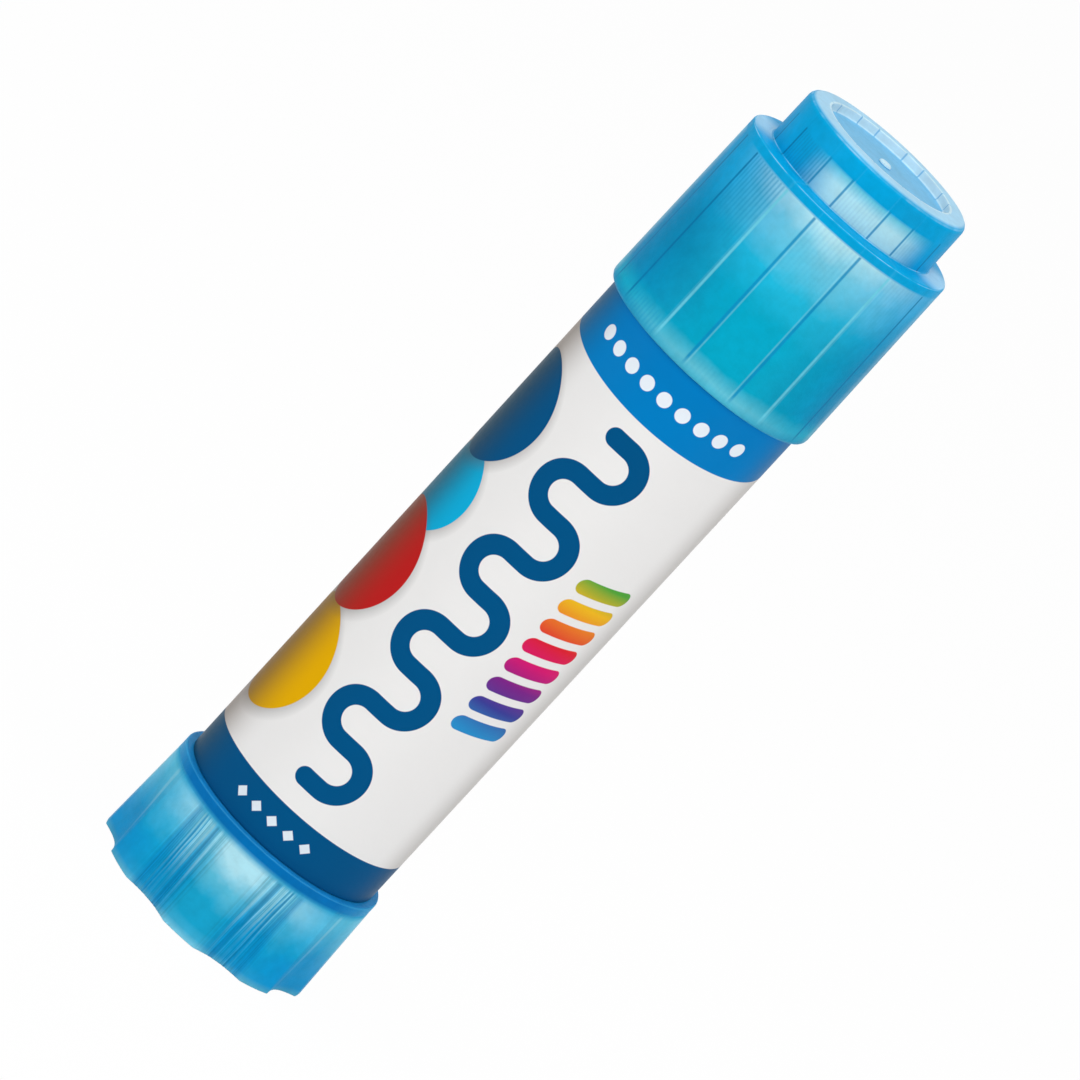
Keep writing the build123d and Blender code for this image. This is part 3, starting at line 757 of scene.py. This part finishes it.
def glue_material(code):
    """Solid glue cast in its tube: creamy white, waxy, with soft smears and a few fine pits."""
    material, add, shader = new_material(
        "Cast solid glue, waxy", IOR=1.45, Specular_IOR_Level=0.4, Subsurface_Weight=0.4, Subsurface_Scale=3 * MM,
        Subsurface_Radius=(1.0, 0.85, 0.65))
    place = add("TexCoord", output=3)
    smear = add("TexNoise", place, per_metre(SMEAR_SIZE), 4.0)
    pits = add("MapRange", add("TexVoronoi", place, per_metre(PIT_SPACING)), 0.0, 0.25, 0.0, 0.35)
    uneven = add("Math", smear, pits, operation="ADD")
    tone = add("MapRange", smear, 0.3, 0.7, 0.94, 1.02)
    feed(shader, Base_Color=add("Mix", 1.0, code, tone, data_type="RGBA", blend_type="MULTIPLY"),
         Roughness=add("MapRange", smear, 0.3, 0.7, 0.26, 0.42), Normal=add("Bump", 0.2, 0.3 * MM, 0.1, uneven))
    return material


def seen_by_eye(add):
    """1 for what the eye sees, also mirrored in gloss or through clear plastic, and 0 for what lights the object."""
    path = add("LightPath").node.outputs
    seen = add("Math", path["Is Camera Ray"], path["Is Glossy Ray"], operation="MAXIMUM")
    return add("Math", seen, path["Is Transmission Ray"], operation="MAXIMUM")


# Operators

class GLUESTICK_OT_cap(bpy.types.Operator):
    """Make the stepped, translucent pull-off cap"""
    bl_idname = "gluestick.cap"
    bl_label = "Cap"

    def execute(self, context):
        cap = context.scene.glue_stick_cap
        (_, _, low), (_, _, high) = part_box("cap")
        shoulder = high - cap.step_height
        ceiling = shoulder - cap.roof
        recess = high - cap.recess_depth
        step_ceiling = recess - cap.slab
        lip = low + cap.lip_height
        groove = lip + cap.groove_height
        recess_radius = cap.step_top_radius - cap.rim_width
        fine_foot = ceiling - cap.fine_rib_length
        outline = [
            (0, recess + cap.gate_height, 0),
            (cap.gate_radius, recess + cap.gate_height, cap.small_round * 0.9),
            (cap.gate_radius, recess, 0),
            (recess_radius, recess, cap.small_round),
            (recess_radius, high, cap.small_round / 3),
            (cap.step_top_radius, high, cap.top_round),
            (cap.step_radius, shoulder, cap.small_round),
            (cap.shoulder_radius, shoulder, cap.small_round),
            (cap.mouth_radius, low, cap.lip_round),
            (cap.lip_bore, low, cap.groove_depth),
            (cap.lip_bore, lip, 0),
            (cap.mouth_bore + cap.groove_depth, lip, 0),
            (cap.mouth_bore + cap.groove_depth, groove, 0),
            (cap.mouth_bore, groove, 0),
            (cap.mouth_bore + (cap.shoulder_bore - cap.mouth_bore) * (fine_foot - groove) / (ceiling - groove),
             fine_foot, 0),
            (cap.shoulder_bore, ceiling, 0),
            (cap.step_bore, ceiling, 0),
            (cap.step_bore, step_ceiling, 0),
            (0, step_ceiling, 0),
        ]
        column = 2 * math.pi / FINE_COLUMNS
        pair_turn = 2 * math.pi / RIB_PAIRS
        half_spread = round(cap.rib_spread / 2 / column)
        body = turned(outline, FINE_COLUMNS, FRONT + cap.rib_turn - cap.rib_spread / 2)
        for vert in body.verts:
            place, radius = turn_of(vert)
            on_skirt = cap.shoulder_bore - NEARBY < radius < cap.mouth_bore + 2 * cap.groove_depth
            on_step = abs(radius - cap.step_bore) < NEARBY and vert.co.z > ceiling - NEARBY
            if not (on_skirt and lip - NEARBY < vert.co.z < ceiling + NEARBY or on_step):
                continue
            from_pair = (place - FRONT - cap.rib_turn + pair_turn / 2) % pair_turn - pair_turn / 2
            columns_off = abs(round(from_pair / column))
            if columns_off == half_spread:
                in_groove = max(0.0, radius - cap.mouth_bore) * 0.9 if on_skirt else 0.0
                push(vert, -cap.rib_height - in_groove)
            elif columns_off < half_spread and columns_off % 2 and vert.co.z > fine_foot + NEARBY:
                push(vert, -cap.fine_rib_height)
        finished(body, "cap_moulding", cap_material(cap, low, high), "cap", "cap")
        return {"FINISHED"}


class GLUESTICK_OT_knob(bpy.types.Operator):
    """Make the scalloped foot knob with its fine grip grooves"""
    bl_idname = "gluestick.knob"
    bl_label = "Knob"

    def execute(self, context):
        knob = context.scene.glue_stick_knob
        (_, _, low), (_, _, high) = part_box("knob")
        collar = high - knob.collar_height
        half_socket = knob.socket_width / 2
        outline = [
            (0, low + knob.recess_depth, 0),
            (knob.recess_radius, low + knob.recess_depth, knob.foot_round),
            (knob.recess_radius, low, knob.foot_round),
            (knob.foot_radius, low, knob.foot_round),
            (knob.collar_radius, collar, 0),
            (knob.collar_radius, collar + 0.08 * MM, 0),
            (knob.collar_radius, high, knob.collar_round),
            (knob.bore, high, knob.foot_round),
            (knob.bore, knob.ledge_height, 0),
            (knob.low_bore, knob.ledge_height, 0),
            (knob.low_bore, knob.floor_height, 0),
            (knob.hub_radius, knob.floor_height, 0),
            (knob.hub_radius, knob.hub_height, 0),
            (half_socket, knob.hub_height, 0),
            (half_socket, knob.socket_floor, 0),
            (0, knob.socket_floor, 0),
        ]
        column = 2 * math.pi / FINE_COLUMNS
        lobe_columns = FINE_COLUMNS // LOBES
        deep_grooves = ((16.5, 20.0), (25.0, 33.5))
        crown_columns = round(knob.crown_angle / 2 / column)
        hollow_columns = lobe_columns - 2 * crown_columns
        body = turned(outline, FINE_COLUMNS, FRONT)
        for vert in body.verts:
            place, radius = turn_of(vert)
            if radius < half_socket + NEARBY:
                if radius > SMALLEST_GAP:
                    push(vert, half_socket / max(abs(math.cos(place)), abs(math.sin(place))) - radius)
                continue
            if radius < knob.recess_radius + 0.5 * MM or vert.co.z > collar + 0.04 * MM:
                continue
            if radius < knob.bore + NEARBY and vert.co.z > low + knob.recess_depth + NEARBY:
                continue
            step = round((place - FRONT) / column) % lobe_columns - crown_columns
            if 0 < step < hollow_columns:
                fade = (collar - vert.co.z) / (collar - low)
                across = step / hollow_columns
                dip = (1 - (2 * across - 1) ** 2) * knob.hollow_depth * fade
                from_front = math.degrees(abs((place - FRONT + math.pi / 2) % math.pi - math.pi / 2))
                deep = any(start < from_front < end for start, end in deep_grooves)
                groove = knob.groove_depth * (0.6 if deep else 0.2)
                push(vert, -dip - (groove if step % 2 else 0))
        bmesh.ops.recalc_face_normals(body, faces=body.faces)
        finished(body, "knob_moulding", knob_material(knob, low, high), "knob", "knob")
        return {"FINISHED"}


class GLUESTICK_OT_barrel(bpy.types.Operator):
    """Make the white barrel with its necks, beads, web and guide ribs"""
    bl_idname = "gluestick.barrel"
    bl_label = "Barrel"

    def execute(self, context):
        barrel = context.scene.glue_stick_barrel
        (_, _, foot), (outer, _, mouth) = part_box("barrel")
        shoulder = mouth - barrel.neck_length
        low_shoulder = foot + barrel.low_neck_length
        web_top = low_shoulder + barrel.web
        bead = shoulder + barrel.bead_lift
        snap = foot + barrel.snap_lift
        neck = barrel.neck_radius
        rib_top = mouth - barrel.rib_stop
        half_rib = 0.52 * MM
        outline = [
            (neck, foot, barrel.mouth_round),
            (neck, snap - barrel.snap_width / 2, 0),
            (neck + barrel.snap_height, snap, barrel.mouth_round),
            (neck, snap + barrel.snap_width / 2, 0),
            (neck, low_shoulder, 0),
            (outer, low_shoulder, 0.1 * MM),
            (outer, shoulder, 0.15 * MM),
            (neck, shoulder, 0.1 * MM),
            (neck, bead - barrel.bead_width / 2, 0),
            (neck + barrel.bead_height, bead, 0.12 * MM),
            (neck, bead + barrel.bead_width / 2, 0),
            (neck, mouth, barrel.mouth_round),
            (barrel.bore, mouth, barrel.mouth_round),
            (barrel.bore, rib_top, 0),
            (barrel.bore, web_top, 0),
            (barrel.web_bore, web_top, 0),
            (barrel.web_bore, low_shoulder, 0),
            (barrel.bore, low_shoulder, 0),
            (barrel.bore, foot, barrel.mouth_round),
        ]
        body = turned(outline, PLAIN_COLUMNS, FRONT)
        for vert in body.verts:
            _, radius = turn_of(vert)
            on_bore = abs(radius - barrel.bore) < NEARBY / 2 and web_top - NEARBY < vert.co.z < rib_top + NEARBY
            if on_bore and abs(vert.co.y) < half_rib:
                push(vert, -barrel.rib_height)
        material = white_plastic("Moulded white polypropylene", barrel.plastic_colour, 0.05)
        finished(body, "barrel_moulding", material, "barrel", "barrel")
        return {"FINISHED"}


class GLUESTICK_OT_label(bpy.types.Operator):
    """Make the printed film round the barrel"""
    bl_idname = "gluestick.label"
    bl_label = "Label"

    def execute(self, context):
        label = context.scene.glue_stick_label
        (_, _, low), (_, _, high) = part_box("label")
        inner = label.radius - label.thickness
        low -= label.reach
        high += label.reach
        outline = [
            (inner, low, 0),
            (label.radius, low, 0.03 * MM),
            (label.radius, high, 0.03 * MM),
            (inner, high, 0),
        ]
        seam_turn = label.seam / label.radius
        body = turned(outline, PLAIN_COLUMNS, -FRONT + seam_turn / 2, 2 * math.pi - seam_turn)
        finished(body, "printed_label", label_material(label), "barrel", "label")
        return {"FINISHED"}


class GLUESTICK_OT_glue(bpy.types.Operator):
    """Make the cast glue with its grooves and its soft top edge"""
    bl_idname = "gluestick.glue"
    bl_label = "Glue"

    def execute(self, context):
        barrel = context.scene.glue_stick_barrel
        (_, low_y, low), (_, high_y, high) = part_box("glue")
        radius = (high_y - low_y) / 2
        rim = low + barrel.glue_cup_height
        nut = low + barrel.glue_nut_height
        bore_top = high - barrel.glue_bore_top
        middle = high - 0.05 * MM
        soft_round = 0.6 * MM
        outline = [
            (0, middle, 0),
            (radius * 0.55, middle, soft_round),
            (radius * 0.8, high, soft_round),
            (radius, high, barrel.glue_round),
            (radius, rim, 0),
            (barrel.glue_cup_radius, rim, 0),
            (barrel.glue_cup_radius, low, 0),
            (barrel.glue_nut_radius, low, 0),
            (barrel.glue_nut_radius, nut, 0),
            (barrel.glue_bore, nut, 0),
            (barrel.glue_bore, bore_top, 0),
            (0, bore_top, 0),
        ]
        body = turned(outline, PLAIN_COLUMNS, FRONT)
        for vert in body.verts:
            _, from_axis = turn_of(vert)
            on_side = from_axis > radius - 0.7 * MM and vert.co.z > rim - NEARBY
            if on_side and abs(vert.co.y) < barrel.glue_groove_width / 2:
                push(vert, radius - barrel.glue_groove_depth - from_axis)
        finished(body, "glue_rod", glue_material(barrel.glue_colour), "carrier", "glue")
        return {"FINISHED"}


class GLUESTICK_OT_mechanism(bpy.types.Operator):
    """Give the carrier and the drive screw their undyed plastic"""
    bl_idname = "gluestick.mechanism"
    bl_label = "Mechanism"

    def execute(self, context):
        code = context.scene.glue_stick_barrel.natural_colour
        material = white_plastic("Moulded natural polypropylene", code, 0.3)
        for node in ("carrier", "drive_screw"):
            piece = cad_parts[node]
            piece.data.materials.clear()
            piece.data.materials.append(material)
        return {"FINISHED"}


def away_from_aim(azimuth, elevation):
    """The direction of a lamp or the camera, by its angle from the front towards the right and its angle up."""
    level = math.cos(elevation)
    return Vector((math.sin(azimuth) * level, -math.cos(azimuth) * level, math.sin(elevation)))


class GLUESTICK_OT_stage(bpy.types.Operator):
    """Set the floor, the lamps, the sky and the camera"""
    bl_idname = "gluestick.stage"
    bl_label = "Stage"

    def execute(self, context):
        scene = context.scene
        stage = scene.glue_stick_stage
        scene.view_settings.view_transform = "Standard"

        floor = bmesh.new()
        bmesh.ops.create_grid(floor, x_segments=2, y_segments=2, size=3.0)
        mesh = bpy.data.meshes.new("floor")
        floor.to_mesh(mesh)
        floor.free()
        piece = placed("floor", mesh)
        piece.location.z = -0.02 * MM

        # The card looks white to the eye, with a little of its own shading, and lights the object as plain card
        material = bpy.data.materials.new("Matt white studio card")
        material.use_nodes = True
        material.node_tree.nodes.clear()
        add = partial(add_node, material.node_tree)
        glowing = meet(add, seen_by_eye(add), 0.975)
        card = add("BsdfDiffuse", stage.floor_colour)
        glow = add("Emission", (1, 1, 1, 1), 1.0)
        add("OutputMaterial", add("MixShader", glowing, card, glow))
        mesh.materials.append(material)

        # The sky is white to the eye and lights the object faintly
        world = bpy.data.worlds.new("Studio")
        scene.world = world
        world.use_nodes = True
        add = partial(add_node, world.node_tree)
        background = world.node_tree.nodes["Background"]
        background.inputs["Color"].default_value = (1, 1, 1, 1)
        feed(background, Strength=add("MapRange", seen_by_eye(add), 0.0, 1.0, 0.15, 1.0))

        aim = Vector((0, 0, stage.aim_height))

        # Name, azimuth from the front towards the right, elevation, distance, width, height, power
        for name, azimuth, elevation, distance, width, height, power in (
                ("Right soft box", 62, 12, 0.7, 0.35, 0.5, 2.0),
                ("Left soft box", -58, 12, 0.7, 0.35, 0.5, 2.0),
                ("Front soft box", 4, 35, 0.9, 0.5, 0.4, 1.75),
                ("Top soft box", 0, 85, 0.8, 0.4, 0.4, 3.4)):
            lamp = bpy.data.lights.new(name, "AREA")
            lamp.shape = "RECTANGLE"
            lamp.size = width
            lamp.size_y = height
            lamp.energy = power
            holder = placed(name, lamp)
            away = away_from_aim(math.radians(azimuth), math.radians(elevation))
            holder.location = aim + away * distance
            holder.rotation_euler = away.to_track_quat("Z", "Y").to_euler()

        camera = bpy.data.cameras.new("Camera")
        camera.lens = stage.lens
        camera.sensor_width = 36
        camera.clip_start = 0.05
        holder = placed("Camera", camera)
        away = away_from_aim(0.0, stage.elevation)
        holder.location = aim + away * stage.distance
        upright = away.to_track_quat("Z", "Y").to_matrix()
        holder.rotation_euler = (upright @ Matrix.Rotation(stage.roll, 3, "Z")).to_euler()
        scene.camera = holder
        return {"FINISHED"}


class GLUESTICK_PT_panel(bpy.types.Panel):
    """Lists the pieces with their sizes and colours"""
    bl_idname = "GLUESTICK_PT_panel"
    bl_label = "Glue Stick"
    bl_space_type = "VIEW_3D"
    bl_region_type = "UI"
    bl_category = "Glue Stick"

    def draw(self, context):
        for operator, settings in STEPS:
            self.layout.operator(operator.bl_idname)
            group = getattr(context.scene, settings)
            column = self.layout.column(align=True)
            for name in group.bl_rna.properties.keys():
                if name not in {"rna_type", "name"}:
                    column.prop(group, name)


SETTINGS = {
    "glue_stick_cap": CapSettings,
    "glue_stick_knob": KnobSettings,
    "glue_stick_barrel": BarrelSettings,
    "glue_stick_label": LabelSettings,
    "glue_stick_stage": StageSettings,
}

STEPS = (
    (GLUESTICK_OT_barrel, "glue_stick_barrel"),
    (GLUESTICK_OT_glue, "glue_stick_barrel"),
    (GLUESTICK_OT_mechanism, "glue_stick_barrel"),
    (GLUESTICK_OT_label, "glue_stick_label"),
    (GLUESTICK_OT_knob, "glue_stick_knob"),
    (GLUESTICK_OT_cap, "glue_stick_cap"),
    (GLUESTICK_OT_stage, "glue_stick_stage"),
)


def register():
    for name, group in SETTINGS.items():
        bpy.utils.register_class(group)
        setattr(bpy.types.Scene, name, bpy.props.PointerProperty(type=group))
    for operator, _ in STEPS:
        bpy.utils.register_class(operator)
    bpy.utils.register_class(GLUESTICK_PT_panel)


def unregister():
    bpy.utils.unregister_class(GLUESTICK_PT_panel)
    for operator, _ in STEPS:
        bpy.utils.unregister_class(operator)
    for name, group in SETTINGS.items():
        delattr(bpy.types.Scene, name)
        bpy.utils.unregister_class(group)


def main():
    """Registers the add-on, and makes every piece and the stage."""
    register()
    bpy.ops.gluestick.barrel()
    bpy.ops.gluestick.glue()
    bpy.ops.gluestick.mechanism()
    bpy.ops.gluestick.label()
    bpy.ops.gluestick.knob()
    bpy.ops.gluestick.cap()
    bpy.ops.gluestick.stage()


if __name__ == "__main__":
    main()
